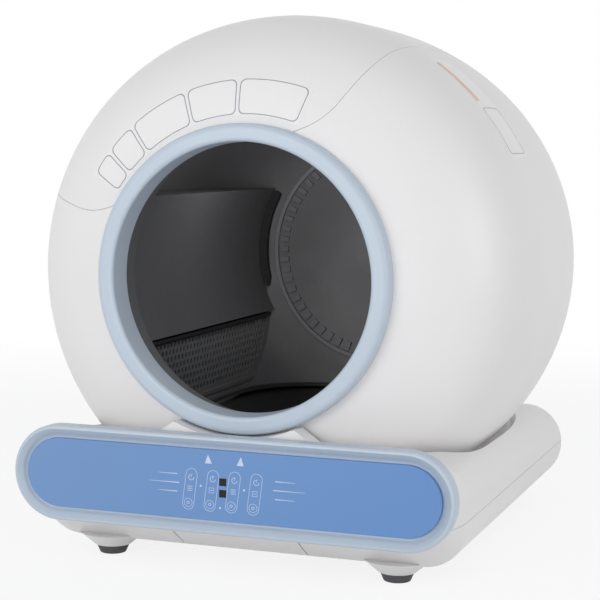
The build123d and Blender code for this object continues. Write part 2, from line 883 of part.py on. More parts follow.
def tray():
    """Waste drawer: stepped bin whose upper edges are scooped out below the drum."""
    outline = Polygon((-trough_half_width, trough_bottom), (trough_half_width, trough_bottom),
                      (trough_half_width, tray_step), (tray_half_width, tray_step),
                      (tray_half_width, tray_top), (-tray_half_width, tray_top),
                      (-tray_half_width, tray_step), (-trough_half_width, tray_step), align=None)
    solid = slice_of(outline, front_depth, tray_rear)
    hollow = slice_of(offset(outline, -tray_wall, kind=Kind.INTERSECTION), front_depth + tray_wall,
                      tray_rear - tray_wall)
    hollow = hollow + block(tray_wall - tray_half_width, tray_half_width - tray_wall,
                            front_depth + tray_wall, tray_rear - tray_wall,
                            tray_top - 2 * tray_wall, tray_top + overrun)
    body = solid - hollow
    scoop = backwards(tray_scoop_radius, 0, axis_height, front_depth + tray_wall, far)
    body = body - scoop
    chin_space = block(-far, far, 0, chin_back + overrun, 0, tray_step)
    body = body - (chin_space - base_form(base_wall + seam))
    for x, z in front_screw_places:
        body = body - screw_hole(x, 0, z, (0, 1, 0), chin_back)
    return body


def drawer_chin():
    """Curved white piece under the drawer front that closes the front of the base."""
    skin = base_form(0) - base_form(base_wall)
    piece = skin & block(-trough_half_width - seam, trough_half_width + seam, front_depth,
                         chin_back - seam, 0, tray_step - seam)
    top = block(-trough_half_width - seam, trough_half_width + seam, front_depth,
                base_front + base_wall, front_bottom, tray_step - seam)
    return piece + top


def drawer_front():
    """Dished oblong front with a pocket for the touch board behind it."""
    body = oblong(front_width, front_height, 0, front_depth, front_middle)
    body = fillet(body.edges().group_by(Axis.Y)[0], front_edge_round)
    mouth = across(0, front_middle) * SlotOverall(front_width - 2 * dish_rim,
                                                  front_height - 2 * dish_rim)
    narrow = 2 * (dish_rim + dish_slope)
    floor = across(dish_depth, front_middle) * SlotOverall(front_width - narrow,
                                                           front_height - narrow)
    dish = loft([mouth, floor], ruled=True)
    dish = fillet(dish.edges().group_by(Axis.Y)[-1], dish_round)
    body = body - dish
    pocket = block(-board_pocket_width / 2, board_pocket_width / 2,
                   front_depth - board_pocket_depth, front_depth,
                   front_middle - board_pocket_height / 2, front_middle + board_pocket_height / 2)
    body = body - pocket
    for x, z in front_screw_places:
        body = body - screw_hole(x, front_depth, z, (0, -1, 0), front_screw_length - tray_wall)
    return body - contact_pads()


def control_panel():
    """Raised blue panel with two small display windows."""
    body = oblong(front_width - 2 * panel_inset, front_height - 2 * panel_inset, panel_proud,
                  dish_depth, front_middle)
    body = fillet(body.edges().group_by(Axis.Y)[0], panel_edge_round)
    for lens in display_places():
        body = body - display_block(lens, panel_proud, display_depth + seam / 2)
    return body


def display_places():
    return [display_height, display_height - display_pitch]


def display_block(z, y, depth):
    half = display_size / 2
    return block(display_x - half, display_x + half, y, y + depth, z - half, z + half)


def touch_board():
    back = front_depth - board_pocket_depth
    return block(touch_board_x - touch_board_width / 2, touch_board_x + touch_board_width / 2,
                 back, back + board_thickness, front_middle - touch_board_height / 2,
                 front_middle + touch_board_height / 2)


def contact_places():
    first = contact_x - contact_pin_pitch * (contact_count - 1) / 2
    return [first + contact_pin_pitch * step for step in range(contact_count)]


def contact_block():
    """Plastic block in the base's front wall that carries the sprung contact pins."""
    half_x = contact_block_width / 2 - seam / 2
    half_z = contact_block_height / 2 - seam / 2
    body = block(contact_x - half_x, contact_x + half_x, base_front,
                 base_front + contact_block_depth, contact_z - half_z, contact_z + half_z)
    ear = block(contact_x - half_x - base_wall, contact_x + half_x + base_wall,
                base_front + base_wall, base_front + contact_block_depth,
                contact_z - half_z - base_wall, contact_z + half_z + base_wall)
    body = body + ear
    for x in contact_places():
        body = body - backwards(contact_pin_radius, x, contact_z, 0, base_front + contact_pin_pitch)
    return body


def contact_pins():
    return [backwards(contact_pin_radius, x, contact_z, front_depth,
                      base_front + contact_pin_pitch) for x in contact_places()]


def contact_pads():
    """Flat contacts let into the back of the drawer front."""
    return [backwards(contact_pad_radius, x, contact_z, front_depth - contact_pad_depth,
                      front_depth) for x in contact_places()]


def foot(x, y):
    body = Pos(x, y, 0) * Cone(foot_bottom_radius, foot_top_radius, foot_height,
                               align=(Align.CENTER, Align.CENTER, Align.MIN))
    body = fillet(body.edges().group_by(Axis.Z)[0], foot_edge_round)
    return body + upright(foot_stem_radius, x, y, foot_height, foot_height + foot_stem_length)


def load_cell(x, y):
    return block(x - cell_length / 2, x + cell_length / 2, y - cell_width / 2,
                 y + cell_width / 2, floor_height, floor_height + cell_height)


def main_board():
    """Control board on standoffs at the rear left of the base, with its larger components."""
    low = floor_height + standoff_height
    x0 = main_board_x - main_board_width / 2
    x1 = main_board_x + main_board_width / 2
    y0 = main_board_y - main_board_depth / 2
    y1 = main_board_y + main_board_depth / 2
    top = low + board_thickness
    body = block(x0, x1, y0, y1, low, top)
    inset_x = x0 + standoff_height
    inset_y = y0 + standoff_height
    relays = block(inset_x, inset_x + relay_width, inset_y, main_board_y, top, top + relay_height)
    regulator = block(main_board_x + standoff_height, x1 - standoff_height, inset_y,
                      inset_y + regulator_depth, top, top + component_height)
    body = body + relays + regulator
    for x in (x0 + standoff_radius, x1 - standoff_radius):
        for y in (y0 + standoff_radius, y1 - standoff_radius):
            body = body + upright(standoff_radius, x, y, floor_height, low)
    return body


def dc_inlet():
    """Low-voltage inlet in the rear wall; its bore faces backwards."""
    half_x = inlet_width / 2 - inlet_face_margin
    half_z = inlet_height / 2 - inlet_face_margin
    body = block(inlet_x - half_x, inlet_x + half_x, base_rear - inlet_depth, base_rear,
                 inlet_z - half_z, inlet_z + half_z)
    return body - backwards(inlet_bore_radius, inlet_x, inlet_z, base_rear - inlet_bore_length,
                            base_rear)


def runner(side):
    """Plastic rail on the floor that the drawer slides on."""
    x0, x1 = sorted((side * runner_inner, side * (runner_inner + runner_width)))
    return block(x0, x1, runner_front, tray_rear, floor_height, tray_step - runner_gap)


def position_sensor():
    """Magnetic sensor on the ledge beside the drum's flange."""
    x = ledge_opening_half_width + sensor_size
    front = drum_split + drum_flange + sensor_gap
    return block(x - sensor_size / 2, x + sensor_size / 2, front, front + sensor_size,
                 ledge_top, ledge_top + sensor_height)


def magnets():
    """Two magnets in the drum's flange, one for each position that the drum stops at."""
    found = []
    for angle in magnet_angles:
        x, z = around(drum_radius + drum_flange_width / 2, angle)
        found.append(backwards(magnet_radius, x, z, drum_split + drum_flange,
                               drum_split + drum_flange + magnet_thickness))
    return found


def write(name, solids):
    """Write one node, moved so that the object is centred front to back."""
    placed = [Pos(0, -origin_y, 0) * solid for solid in solids]
    export_step(placed[0] if len(placed) == 1 else Compound(placed), f"parts/{name}.step")


def main():
    room = drum_form(drum_wall + inner_gap)
    shell = base_shell()
    casing, cover = casing_shells()
    front_half, rear_half = drum_halves(drum_shell())
    write("base_lower_tray", [lower_tray(shell)])
    write("base_upper_shell", [upper_shell(shell)])
    write("casing_shell", [casing_with_lugs(casing)])
    write("top_cover", [cover])
    write("entry_ring", [entry_ring()])
    write("throat_felt", [throat_felt()])
    write("drum_neck", [drum_neck()])
    write("drum_front_shell", [front_half])
    write("drum_rear_shell", [rear_half])
    write("ring_gear", [ring_gear(drum_form(0))])
    write("drive_pinion", [pinion()])
    write("motor_shaft", [motor_shaft()])
    write("gear_motor", [gear_motor()])
    write("motor_bracket", [motor_bracket()])
    write("septum_panel", [septum(room)])
    write("sifter_grille", [sifter(room)])
    write("septum_strip", [septum_strip()])
    write("litter_liner", [litter_liner()])
    for side, name in ((-1, "left"), (1, "right")):
        front_place = below(front_roller_distance, front_roller_angle, side)
        rear_place = below(rear_roller_distance, rear_roller_angle, side)
        write(f"front_roller_{name}", [roller(front_place, front_roller_front)])
        write(f"rear_roller_{name}", [roller(rear_place, rear_roller_front)])
        write(f"front_roller_bracket_{name}",
              [roller_bracket(front_place, front_roller_front, ledge_top)])
        write(f"rear_roller_post_{name}",
              [roller_bracket(rear_place, rear_roller_front, floor_height)])
        write(f"roller_axles_{name}", [axle(front_place, front_roller_front),
                                       axle(rear_place, rear_roller_front)])
        write(f"drawer_runner_{name}", [runner(side)])
    write("waste_tray", [tray()])
    write("drawer_chin", [drawer_chin()])
    write("drawer_front", [drawer_front()])
    write("control_panel", [control_panel()])
    write("display_lenses", [display_block(z, panel_proud, display_depth)
                             for z in display_places()])
    write("touch_board", [touch_board()])
    write("contact_block", [contact_block()])
    write("contact_pins", contact_pins())
    write("contact_pads", contact_pads())
    for x, y in foot_places:
        end = "front" if y == foot_front else "rear"
        side = "left" if x < 0 else "right"
        write(f"foot_{end}_{side}", [foot(x, y)])
    write("load_cells", [load_cell(x, y) for x, y in foot_places])
    write("main_board", [main_board()])
    write("dc_inlet", [dc_inlet()])
    write("position_sensor", [position_sensor()])
    write("drum_magnets", magnets())
    write("base_screws", [screw(x, y, base_screw_seat, (0, 0, 1), base_screw_length)
                          for x, y in base_screw_places])
    write("casing_screws", [screw(x, y, ledge_bottom, (0, 0, 1), screw_length)
                            for x, y in lug_places])
    ring_places = [around(ring_screw_radius, angle) for angle in ring_screw_angles]
    write("ring_screws", [screw(x, ring_seat + neck_plate_thickness, z, (0, -1, 0), screw_length)
                          for x, z in ring_places])
    write("drum_screws", [screw(x, drum_split + drum_flange, z, (0, -1, 0), screw_length)
                          for x, z in drum_screw_places()])
    write("drawer_screws", [screw(x, front_depth + tray_wall, z, (0, -1, 0), front_screw_length)
                            for x, z in front_screw_places])
    write("septum_screws", [screw(x, strip_front, z, (0, 1, 0), strip_screw_length)
                            for x, z in strip_screw_places()])


main()
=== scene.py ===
import json
import math

import bmesh
import bpy
from mathutils import Matrix, Vector


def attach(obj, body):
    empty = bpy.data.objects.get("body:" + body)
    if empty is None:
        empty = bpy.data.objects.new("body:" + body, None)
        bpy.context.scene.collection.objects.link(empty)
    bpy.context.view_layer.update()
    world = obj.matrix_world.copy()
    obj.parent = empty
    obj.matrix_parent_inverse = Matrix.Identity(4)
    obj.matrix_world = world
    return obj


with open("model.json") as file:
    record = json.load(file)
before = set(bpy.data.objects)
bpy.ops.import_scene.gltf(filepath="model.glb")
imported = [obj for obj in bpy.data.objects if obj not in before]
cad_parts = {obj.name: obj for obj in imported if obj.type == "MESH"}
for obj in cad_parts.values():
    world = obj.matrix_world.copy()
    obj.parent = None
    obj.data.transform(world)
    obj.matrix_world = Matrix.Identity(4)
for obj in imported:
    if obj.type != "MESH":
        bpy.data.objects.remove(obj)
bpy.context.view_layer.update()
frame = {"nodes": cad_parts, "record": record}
nodes = frame["nodes"]

# Sizes of the object in millimetres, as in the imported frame. Depth runs backwards from the
# front of the drawer, and half_depth is the depth of the frame's origin.
half_depth = 281.0
axis_height = 286.7
panel_depth = 3.4
millimetre = 0.001


def srgb(red, green, blue):
    """Colour of a pixel as a linear shader colour."""
    def linear(value):
        share = value / 255
        return share / 12.92 if share <= 0.04045 else ((share + 0.055) / 1.055) ** 2.4
    return (linear(red), linear(green), linear(blue), 1.0)


def scaled(colour, factor):
    """Colour made darker or paler by a factor."""
    return tuple(min(part * factor, 1.0) for part in colour[:3]) + (1.0,)


# Materials

def new_material(name):
    """New node material with its tree and its shader."""
    material = bpy.data.materials.new(name)
    material.use_nodes = True
    tree = material.node_tree
    shader = tree.nodes["Principled BSDF"]
    return material, tree, shader


def texture(tree, kind, scale, **settings):
    """Procedural texture in object coordinates, which are metres here."""
    place = tree.nodes.get("Place") or tree.nodes.new("ShaderNodeTexCoord")
    place.name = "Place"
    node = tree.nodes.new(kind)
    node.inputs["Scale"].default_value = scale
    for key, value in settings.items():
        node.inputs[key].default_value = value
    tree.links.new(place.outputs["Object"], node.inputs["Vector"])
    return node


def between(tree, source, low, high, start=0.0, end=1.0):
    """Number from low to high while the source runs from start to end."""
    node = tree.nodes.new("ShaderNodeMapRange")
    node.inputs["From Min"].default_value = start
    node.inputs["From Max"].default_value = end
    node.inputs["To Min"].default_value = low
    node.inputs["To Max"].default_value = high
    tree.links.new(source, node.inputs["Value"])
    return node.outputs["Result"]


def blend_colours(tree, share, first, second):
    """Mix of two colours, each given as a value or a socket."""
    node = tree.nodes.new("ShaderNodeMix")
    node.data_type = "RGBA"
    for socket, value in ((node.inputs["A"], first), (node.inputs["B"], second)):
        if isinstance(value, tuple):
            socket.default_value = value
        else:
            tree.links.new(value, socket)
    tree.links.new(share, node.inputs["Factor"])
    return node.outputs["Result"]


def bump(tree, height, strength, distance, below=None):
    """Normal raised by a texture, over another bump where one is given."""
    node = tree.nodes.new("ShaderNodeBump")
    node.inputs["Strength"].default_value = strength
    node.inputs["Distance"].default_value = distance
    tree.links.new(height, node.inputs["Height"])
    if below is not None:
        tree.links.new(below, node.inputs["Normal"])
    return node.outputs["Normal"]


def moulded(name, colour, roughness, spread=0.03, grain=0.12, coat=0.0):
    """Moulded plastic: faint cloudy tone, fine grain and slightly uneven gloss."""
    material, tree, shader = new_material(name)
    clouds = texture(tree, "ShaderNodeTexNoise", 9.0, Detail=5.0, Roughness=0.6)
    tone = blend_colours(tree, clouds.outputs["Fac"], scaled(colour, 1 - spread),
                         scaled(colour, 1 + spread))
    tree.links.new(tone, shader.inputs["Base Color"])
    handling = texture(tree, "ShaderNodeTexNoise", 24.0, Detail=6.0, Roughness=0.7)
    gloss = between(tree, handling.outputs["Fac"], roughness - 0.06, roughness + 0.06)
    tree.links.new(gloss, shader.inputs["Roughness"])
    fine = texture(tree, "ShaderNodeTexNoise", 1400.0, Detail=2.0)
    waves = texture(tree, "ShaderNodeTexNoise", 14.0, Detail=1.0)
    slow = bump(tree, waves.outputs["Fac"], 0.05, 0.002)
    tree.links.new(bump(tree, fine.outputs["Fac"], grain, 0.00006, slow), shader.inputs["Normal"])
    shader.inputs["Coat Weight"].default_value = coat
    return material


def speckled(name, colour, roughness):
    """Dark grained plastic of the drum, with fine pale specks and rubbed streaks."""
    material, tree, shader = new_material(name)
    clouds = texture(tree, "ShaderNodeTexNoise", 7.0, Detail=6.0, Roughness=0.65)
    tone = blend_colours(tree, clouds.outputs["Fac"], scaled(colour, 0.86), scaled(colour, 1.14))
    specks = texture(tree, "ShaderNodeTexNoise", 900.0, Detail=2.0)
    share = between(tree, specks.outputs["Fac"], -0.7, 0.9)
    tone = blend_colours(tree, share, tone, scaled(colour, 1.35))
    tree.links.new(tone, shader.inputs["Base Color"])
    rubbed = texture(tree, "ShaderNodeTexNoise", 30.0, Detail=8.0, Distortion=1.2)
    gloss = between(tree, rubbed.outputs["Fac"], roughness - 0.1, roughness + 0.1)
    tree.links.new(gloss, shader.inputs["Roughness"])
    grain = texture(tree, "ShaderNodeTexVoronoi", 700.0)
    tree.links.new(bump(tree, grain.outputs["Distance"], 0.25, 0.00012), shader.inputs["Normal"])
    return material


def number(tree, operation, *values):
    """Result of one arithmetic step on sockets or plain numbers."""
    node = tree.nodes.new("ShaderNodeMath")
    node.operation = operation
    for socket, value in zip(node.inputs, values):
        if isinstance(value, (int, float)):
            socket.default_value = value
        else:
            tree.links.new(value, socket)
    return node.outputs["Value"]


def band(tree, value, low, high, blur):
    """1 where a number lies between two limits, with soft ends."""
    above = between(tree, value, 0.0, 1.0, low - blur, low + blur)
    below = between(tree, value, 1.0, 0.0, high - blur, high + blur)
    return number(tree, "MULTIPLY", above, below)


# Ridge and teeth moulded on the drum's rear wall, as in the CAD, in metres about the drum's axis.
# A tooth is where the cosine of its turn is over tooth_cosine.
ridge_limits = (0.1296, 0.1340)
tooth_limits = (0.1165, 0.1285)
relief_blur = 0.0002
tooth_count = 60
tooth_cosine = 0.19
tooth_blur = 0.08
# Painted highlight on the ridge and teeth: how much of it a tooth gets, and how much paler it is
tooth_share = 0.55
highlight_factor = 2.1

# Litter pocket behind the septum: the drum's wall left of its side and under its top, in metres
pocket_side = -0.142
pocket_side_blur = 0.002
pocket_top = 0.33
pocket_top_blur = 0.004
pocket_facing_blur = 0.02
# Colour of the painted shade in the pocket
pocket_shade_tone = srgb(14, 14, 15)


def relief_painted_highlight(material, colour):
    """Painted highlight: paler tone on the raised ridge and teeth, for the light that they catch.
    """
    tree = material.node_tree
    shader = tree.nodes["Principled BSDF"]
    below = shader.inputs["Base Color"].links[0].from_socket
    apart = tree.nodes.new("ShaderNodeSeparateXYZ")
    tree.links.new(tree.nodes["Place"].outputs["Object"], apart.inputs["Vector"])
    across = apart.outputs["X"]
    above = number(tree, "SUBTRACT", apart.outputs["Z"], axis_height * millimetre)
    squares = number(tree, "ADD", number(tree, "MULTIPLY", across, across),
                     number(tree, "MULTIPLY", above, above))
    radius = number(tree, "SQRT", squares)
    ridge = band(tree, radius, *ridge_limits, relief_blur)
    turn = number(tree, "ARCTAN2", above, across)
    wave = number(tree, "COSINE", number(tree, "MULTIPLY", turn, tooth_count))
    on_tooth = between(tree, wave, 0.0, tooth_share, tooth_cosine - tooth_blur,
                       tooth_cosine + tooth_blur)
    teeth = number(tree, "MULTIPLY", on_tooth, band(tree, radius, *tooth_limits, relief_blur))
    raised = number(tree, "MAXIMUM", ridge, teeth)
    tone = blend_colours(tree, raised, below, scaled(colour, highlight_factor))
    tree.links.new(tone, shader.inputs["Base Color"])
    return material


def pocket_painted_shade(material):
    """Painted shade: darker tone on the drum's wall behind the septum, where that wall lies in
    shade.
    """
    tree = material.node_tree
    shader = tree.nodes["Principled BSDF"]
    below = shader.inputs["Base Color"].links[0].from_socket
    place = tree.nodes["Place"]
    out = tree.nodes.new("ShaderNodeVectorMath")
    out.operation = "SUBTRACT"
    tree.links.new(place.outputs["Object"], out.inputs[0])
    out.inputs[1].default_value = (0.0, 0.0, axis_height * millimetre)
    facing = tree.nodes.new("ShaderNodeVectorMath")
    facing.operation = "DOT_PRODUCT"
    tree.links.new(out.outputs["Vector"], facing.inputs[0])
    tree.links.new(place.outputs["Normal"], facing.inputs[1])
    inward = between(tree, facing.outputs["Value"], 1.0, 0.0, -pocket_facing_blur, 0.0)
    apart = tree.nodes.new("ShaderNodeSeparateXYZ")
    tree.links.new(place.outputs["Object"], apart.inputs["Vector"])
    behind = between(tree, apart.outputs["X"], 1.0, 0.0, pocket_side - pocket_side_blur,
                     pocket_side + pocket_side_blur)
    low = between(tree, apart.outputs["Z"], 1.0, 0.0, pocket_top - pocket_top_blur,
                  pocket_top + pocket_top_blur)
    share = number(tree, "MULTIPLY", number(tree, "MULTIPLY", inward, behind), low)
    tone = blend_colours(tree, share, below, pocket_shade_tone)
    tree.links.new(tone, shader.inputs["Base Color"])
    return material


def rubber(name, colour):
    """Dull rubber with pores and dust."""
    material, tree, shader = new_material(name)
    dust = texture(tree, "ShaderNodeTexNoise", 120.0, Detail=8.0, Roughness=0.8)
    tone = blend_colours(tree, dust.outputs["Fac"], scaled(colour, 0.7), scaled(colour, 1.5))
    tree.links.new(tone, shader.inputs["Base Color"])
    shader.inputs["Roughness"].default_value = 0.75
    pores = texture(tree, "ShaderNodeTexNoise", 2200.0, Detail=3.0)
    tree.links.new(bump(tree, pores.outputs["Fac"], 0.4, 0.0001), shader.inputs["Normal"])
    return material


def felt(name, colour):
    """Pressed felt: short tangled fibres."""
    material, tree, shader = new_material(name)
    fibres = texture(tree, "ShaderNodeTexNoise", 1500.0, Detail=8.0, Distortion=3.0)
    tone = blend_colours(tree, fibres.outputs["Fac"], scaled(colour, 0.6), scaled(colour, 1.6))
    tree.links.new(tone, shader.inputs["Base Color"])
    shader.inputs["Roughness"].default_value = 0.95
    shader.inputs["Sheen Weight"].default_value = 0.4
    tree.links.new(bump(tree, fibres.outputs["Fac"], 0.8, 0.0004), shader.inputs["Normal"])
    return material


def metal(name, colour, roughness):
    """Plated metal with fine drawn lines and faint stains."""
    material, tree, shader = new_material(name)
    shader.inputs["Metallic"].default_value = 1.0
    stains = texture(tree, "ShaderNodeTexNoise", 60.0, Detail=6.0)
    tone = blend_colours(tree, stains.outputs["Fac"], scaled(colour, 0.85), scaled(colour, 1.1))
    tree.links.new(tone, shader.inputs["Base Color"])
    lines = texture(tree, "ShaderNodeTexWave", 900.0, Distortion=6.0)
    gloss = between(tree, lines.outputs["Fac"], roughness - 0.08, roughness + 0.08)
    tree.links.new(gloss, shader.inputs["Roughness"])
    tree.links.new(bump(tree, lines.outputs["Fac"], 0.1, 0.00005), shader.inputs["Normal"])
    return material


def circuit_board(name):
    """Solder mask over a web of tracks."""
    material, tree, shader = new_material(name)
    tracks = texture(tree, "ShaderNodeTexBrick", 90.0)
    tracks.inputs["Color1"].default_value = srgb(24, 92, 52)
    tracks.inputs["Color2"].default_value = srgb(20, 82, 46)
    tracks.inputs["Mortar"].default_value = srgb(52, 128, 78)
    tree.links.new(tracks.outputs["Color"], shader.inputs["Base Color"])
    shader.inputs["Roughness"].default_value = 0.35
    tree.links.new(bump(tree, tracks.outputs["Fac"], 0.3, 0.0001), shader.inputs["Normal"])
    return material


def display_window(name):
    """Smoked window over the fine cells of a dark display."""
    material, tree, shader = new_material(name)
    cells = texture(tree, "ShaderNodeTexChecker", 700.0)
    cells.inputs["Color1"].default_value = srgb(26, 26, 28)
    cells.inputs["Color2"].default_value = srgb(44, 42, 42)
    tree.links.new(cells.outputs["Color"], shader.inputs["Base Color"])
    shader.inputs["Roughness"].default_value = 0.3
    shader.inputs["Specular IOR Level"].default_value = 0.2
    return material


# Half the width over which the panel's tone shifts, in metres
panel_half_width = 0.21


def panel_plastic(name, left, right):
    """Blue panel whose tone shifts slightly from its left end to its right end."""
    material, tree, shader = new_material(name)
    place = tree.nodes.new("ShaderNodeTexCoord")
    place.name = "Place"
    apart = tree.nodes.new("ShaderNodeSeparateXYZ")
    tree.links.new(place.outputs["Object"], apart.inputs["Vector"])
    along = between(tree, apart.outputs["X"], 0.0, 1.0, -panel_half_width, panel_half_width)
    tone = blend_colours(tree, along, left, right)
    clouds = texture(tree, "ShaderNodeTexNoise", 12.0, Detail=5.0)
    share = between(tree, clouds.outputs["Fac"], 0.0, 0.1)
    tone = blend_colours(tree, share, tone, scaled(left, 1.3))
    tree.links.new(tone, shader.inputs["Base Color"])
    handling = texture(tree, "ShaderNodeTexNoise", 30.0, Detail=6.0, Roughness=0.7)
    tree.links.new(between(tree, handling.outputs["Fac"], 0.36, 0.5), shader.inputs["Roughness"])
    fine = texture(tree, "ShaderNodeTexNoise", 1600.0, Detail=2.0)
    tree.links.new(bump(tree, fine.outputs["Fac"], 0.1, 0.00005), shader.inputs["Normal"])
    return material


def ink(name, colour):
    """Screen-printed ink, a little uneven."""
    material, tree, shader = new_material(name)
    uneven = texture(tree, "ShaderNodeTexNoise", 400.0, Detail=4.0)
    tone = blend_colours(tree, uneven.outputs["Fac"], scaled(colour, 0.9), scaled(colour, 1.08))
    tree.links.new(tone, shader.inputs["Base Color"])
    shader.inputs["Roughness"].default_value = 0.5
    return material


drum_grey = srgb(96, 96, 98)
looks = {
    "white_shell": moulded("white_shell", srgb(233, 231, 230), 0.42, spread=0.012, coat=0.08),
    "pale_blue": moulded("pale_blue", srgb(188, 200, 212), 0.4, spread=0.02, coat=0.08),
    "panel_blue": panel_plastic("panel_blue", srgb(110, 146, 193), srgb(94, 138, 195)),
    "dark_grey": speckled("dark_grey", drum_grey, 0.5),
    "black_plastic": moulded("black_plastic", srgb(36, 36, 38), 0.4, spread=0.12),
    "felt": felt("felt", srgb(86, 87, 90)),
    "gear_plastic": moulded("gear_plastic", srgb(222, 219, 210), 0.35, spread=0.04),
    "bracket_plastic": moulded("bracket_plastic", srgb(120, 122, 126), 0.5, spread=0.06),
    "steel": metal("steel", srgb(196, 196, 200), 0.32),
    "display": display_window("display"),
    "board": circuit_board("board"),
    "contact_metal": metal("contact_metal", srgb(226, 190, 118), 0.28),
    "foot_rubber": rubber("foot_rubber", srgb(74, 74, 76)),
}
drum_rear = relief_painted_highlight(speckled("drum_rear", drum_grey, 0.5), drum_grey)
drum_looks = {
    "drum_rear_shell": pocket_painted_shade(drum_rear),
    "drum_front_shell": pocket_painted_shade(speckled("drum_front", drum_grey, 0.5)),
    # The grille gets a paler copy of the drum's grey as painted light, so that its webs show lit
    "sifter_grille": speckled("grille", srgb(128, 128, 130), 0.45),
}
print_ink = ink("print_ink", srgb(196, 212, 234))
label_ink = ink("label_ink", srgb(150, 152, 158))
red_ink = ink("red_ink", srgb(228, 190, 178))
film = moulded("film", srgb(236, 234, 233), 0.36, spread=0.008, grain=0.03)

# Looks of the CAD nodes: by node in the drum, otherwise by material slot. Edges stay sharp where
# two faces meet at more than sharp_angle degrees.
sharp_angle = 28

for entry in frame["record"]["subparts"]:
    target = nodes[entry["node"]]
    target.data.materials.clear()
    look = drum_looks.get(entry["node"], looks[entry["material_slot"]])
    target.data.materials.append(look)
    target.data.shade_smooth()
    target.data.set_sharp_from_angle(angle=math.radians(sharp_angle))


# Pieces

def piece(name, mesh, body, material):
    """New object from a bmesh, on a body."""
    data = bpy.data.meshes.new(name)
    bmesh.ops.recalc_face_normals(mesh, faces=mesh.faces)
    mesh.to_mesh(data)
    mesh.free()
    data.materials.append(material)
    made = bpy.data.objects.new(name, data)
    bpy.context.scene.collection.objects.link(made)
    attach(made, body)
    return made


def plate(mesh, outline, place, sunk, proud):
    """Closed thin plate over a convex outline."""
    low = [mesh.verts.new(place(u, v, -sunk)) for u, v in outline]
    high = [mesh.verts.new(place(u, v, proud)) for u, v in outline]
    mesh.faces.new(low[::-1])
    mesh.faces.new(high)
    for index in range(len(outline)):
        after = (index + 1) % len(outline)
        mesh.faces.new((low[index], low[after], high[after], high[index]))


def line(mesh, path, closed, widths, place, sunk, proud):
    """Closed thin strip along a path, as wide at each point as widths says."""
    count = len(path)
    left, right = [], []
    for index, (u, v) in enumerate(path):
        before = path[(index - 1) % count] if closed or index else path[0]
        after = path[(index + 1) % count] if closed or index < count - 1 else path[-1]
        run = Vector((after[0] - before[0], after[1] - before[1])).normalized()
        half = widths(index / max(count - 1, 1)) / 2
        left.append((u - run.y * half, v + run.x * half))
        right.append((u + run.y * half, v - run.x * half))
    rings = []
    for a, b in zip(left, right):
        rings.append([mesh.verts.new(place(*a, -sunk)), mesh.verts.new(place(*a, proud)),
                      mesh.verts.new(place(*b, proud)), mesh.verts.new(place(*b, -sunk))])
    steps = count if closed else count - 1
    for index in range(steps):
        here, there = rings[index], rings[(index + 1) % count]
        for side in range(4):
            other = (side + 1) % 4
            mesh.faces.new((here[side], here[other], there[other], there[side]))
    if not closed:
        mesh.faces.new(rings[0][::-1])
        mesh.faces.new(rings[-1])


def circle(u, v, radius, count=24, start=0.0, sweep=360.0):
    """Points on a circle or, with a smaller sweep, on an arc."""
    steps = count if sweep == 360.0 else count - 1
    return [(u + radius * math.cos(math.radians(start + sweep * step / steps)),
             v + radius * math.sin(math.radians(start + sweep * step / steps)))
            for step in range(count)]


def pill(u, v, length, width, lean, count=12):
    """Outline with round ends about a leaning centre line."""
    half = (length - width) / 2
    points = (circle(0.0, half, width / 2, count, 0.0, 180.0)
              + circle(0.0, -half, width / 2, count, 180.0, 180.0))
    turn = math.radians(-lean)
    cosine, sine = math.cos(turn), math.sin(turn)
    return [(u + a * cosine - b * sine, v + a * sine + b * cosine) for a, b in points]


def on_panel(u, v, lift):
    """Point at a height over the front of the control panel."""
    return Vector((u, panel_depth - lift - half_depth, v)) * millimetre


# Marks on the control panel: four leaning key fields with plain touch symbols, two pointers,
# three small dots and parallel strokes at both sides. Places are across the panel from its middle
# and up from the floor. A pointer is its left, right, base, top and tip, and a dial's arc is its
# number of points, its start and its sweep.
key_centres = ((-36.9, 87.2), (-14.6, 86.9), (7.5, 87.2), (29.6, 87.0))
key_length = 40.0
key_width = 11.6
key_lean = 7.0
key_pitch = 11.6
pointers = ((-21.5, -14.2, 113.2, 121.8, -18.4), (11.0, 18.2, 113.2, 121.8, 15.2))
dot_centres = ((-25.6, 91.0), (18.8, 90.2), (-5.6, 71.2))
dot_radius = 1.1
dot_sides = 12
stroke_ends = ((50.0, 70.0), (48.0, 80.0), (50.0, 70.0))
stroke_top = 101.0
stroke_pitch = 8.5
stroke_parts = 8
stroke_width = 1.0
stroke_thinning = 0.7
ring_row = -1.15
ring_radius = 4.1
ring_dot_radius = 1.2
bars_row = 0.05
bar_half = 2.6
bar_rises = (-2.0, 0.0, 2.0)
box_half = 2.4
box_bar_half = 1.2
dial_row = 1.0
dial_radius = 2.7
dial_arc = (18, 60.0, 300.0)
tick_length = 3.0
mark_line = 0.6
frame_line = 0.45
mark_sunk = 0.05
mark_proud = 0.1


def key_place(centre, along):
    """Point on a key field's centre line."""
    turn = math.radians(key_lean)
    return centre[0] + along * math.sin(turn), centre[1] + along * math.cos(turn)


def even(width):
    """Width of a line that is the same all along."""
    return lambda share: width


def fading(share):
    """Width of a stroke that thins towards its outer end."""
    return stroke_width - stroke_thinning * share


def stroke(mesh, path, closed=False, width=mark_line):
    """Printed line of one width on the panel."""
    line(mesh, path, closed, even(width), on_panel, mark_sunk, mark_proud)


